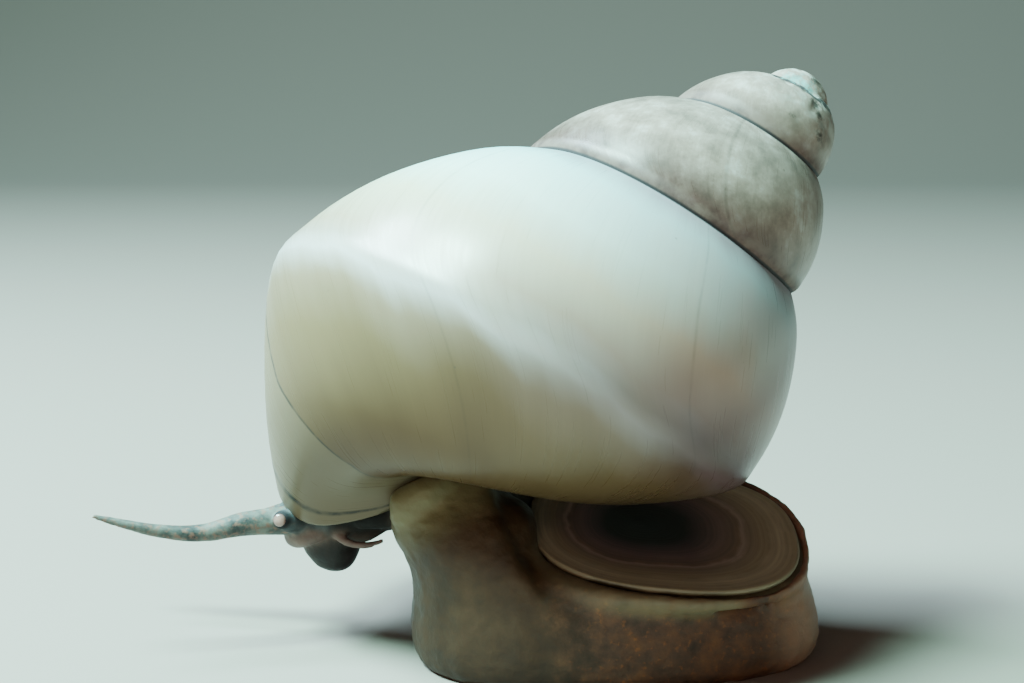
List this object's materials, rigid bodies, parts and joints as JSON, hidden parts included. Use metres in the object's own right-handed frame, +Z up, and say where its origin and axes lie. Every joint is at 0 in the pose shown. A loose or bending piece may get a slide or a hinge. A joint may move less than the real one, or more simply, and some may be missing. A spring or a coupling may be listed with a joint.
{
  "type": "apple snail",
  "caption": "Life-size freshwater apple snail crawling, with an ivory spiral shell, olive and rust foot, horny operculum, dark snout and long tentacles.",
  "frame": {"origin": "on the sole, below the middle of the foot, at floor level", "axes": "+X towards the tail with the head at -X, +Y to the snail's right, +Z up from the sole to the shell"},
  "size_m": [0.0551, 0.0385, 0.0433],
  "materials": {
    "shell_ivory": "smooth, half gloss",
    "operculum_horn": "ringed horn, wet",
    "flesh_olive": "wrinkled wet skin",
    "flesh_rust": "wrinkled wet skin",
    "flesh_grey": "smooth wet skin",
    "snout_black": "smooth wet skin",
    "palp_pink": "smooth wet skin",
    "eye_pearl": "wet gloss"
  },
  "bodies": {
    "root": {"shell": "shell_ivory", "operculum": "operculum_horn", "mantle": "flesh_grey", "trunk": "flesh_olive", "foot_front": "flesh_olive", "foot_middle": "flesh_olive", "foot_tail": "flesh_rust", "neck": "flesh_grey", "head": "flesh_grey", "snout": "snout_black", "upper_lip": "palp_pink", "labial_palp_left": "palp_pink", "labial_palp_right": "palp_pink", "nuchal_lobe_left": "flesh_grey", "nuchal_lobe_right": "flesh_grey", "eyestalk_left": "flesh_grey", "eyestalk_right": "flesh_grey", "eye_left": "eye_pearl", "eye_right": "eye_pearl", "tentacle_left_base": "flesh_grey", "tentacle_left_middle": "flesh_grey", "tentacle_left_tip": "flesh_grey", "tentacle_right_base": "flesh_grey", "tentacle_right_middle": "flesh_grey", "tentacle_right_tip": "flesh_grey"}
  },
  "joints": []
}
